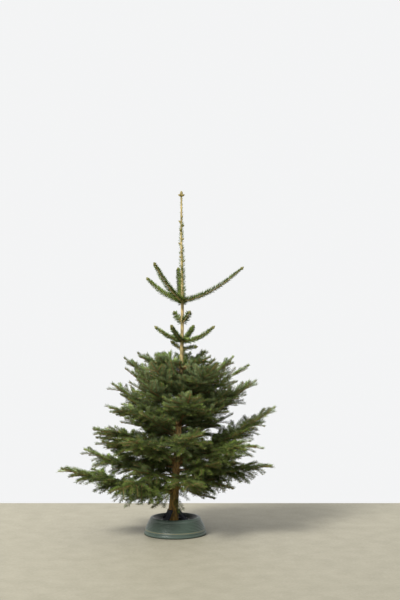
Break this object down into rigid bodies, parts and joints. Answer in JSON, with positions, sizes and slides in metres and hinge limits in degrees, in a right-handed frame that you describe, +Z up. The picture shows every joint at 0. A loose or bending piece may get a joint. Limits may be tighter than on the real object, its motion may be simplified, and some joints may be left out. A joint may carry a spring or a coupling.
{
  "type": "cut christmas tree in a stand",
  "caption": "Cut fir tree with a long bare leader, open rising upper shoots and a full skirt of flat needled boughs, clamped in a round plastic stand.",
  "frame": {"origin": "on the floor under the middle of the round stand", "axes": "+Z up along the trunk, +X to the right as the tree is seen from the front, -Y towards the viewer"},
  "size_m": [1.3641, 1.1203, 2.1],
  "materials": {
    "trunk_bark": "rough orange-brown bark, straw-coloured and smoother on the upper trunk",
    "bough_bark": "dull brown bark, finer than the trunk's",
    "needles": "waxy dark green above, pale blue-grey beneath, yellow-green at the newest shoots",
    "stand_plastic": "satin dark green plastic with fine level ribs and a thin gold line near the foot",
    "clamp_plastic": "near-black smooth plastic"
  },
  "bodies": {
    "root": {"bough_seventh_a": "bough_bark", "bough_seventh_b": "bough_bark", "bough_seventh_c": "bough_bark", "bough_seventh_d": "bough_bark", "bough_seventh_e": "bough_bark", "bough_seventh_f": "bough_bark", "bough_seventh_g": "bough_bark", "bough_sixth_a": "bough_bark", "bough_sixth_b": "bough_bark", "bough_sixth_c": "bough_bark", "bough_sixth_d": "bough_bark", "bough_sixth_e": "bough_bark", "bough_sixth_f": "bough_bark", "needles_crown_a": "needles", "needles_crown_b": "needles", "needles_crown_c": "needles", "needles_crown_d": "needles", "needles_fifth_a": "needles", "needles_fifth_b": "needles", "needles_fifth_c": "needles", "needles_fifth_d": "needles", "needles_fifth_e": "needles", "needles_fourth_a": "needles", "needles_fourth_b": "needles", "needles_fourth_c": "needles", "needles_fourth_d": "needles", "needles_fourth_e": "needles", "needles_lower_spur_a": "needles", "needles_lower_spur_b": "needles", "needles_seventh_a": "needles", "needles_seventh_b": "needles", "needles_seventh_c": "needles", "needles_seventh_d": "needles", "needles_seventh_e": "needles", "needles_seventh_f": "needles", "needles_seventh_g": "needles", "needles_sixth_a": "needles", "needles_sixth_b": "needles", "needles_sixth_c": "needles", "needles_sixth_d": "needles", "needles_sixth_e": "needles", "needles_sixth_f": "needles", "needles_third_a": "needles", "needles_third_b": "needles", "needles_third_c": "needles", "needles_third_d": "needles", "needles_third_e": "needles", "needles_upper_a": "needles", "needles_upper_b": "needles", "needles_upper_c": "needles", "needles_upper_d": "needles", "needles_upper_spur_a": "needles", "needles_upper_spur_b": "needles", "stand_clamp_ring": "clamp_plastic", "stand_claw_1": "clamp_plastic", "stand_claw_2": "clamp_plastic", "stand_claw_3": "clamp_plastic", "stand_claw_4": "clamp_plastic", "stand_shell": "stand_plastic", "trunk": "trunk_bark"}
  },
  "joints": []
}
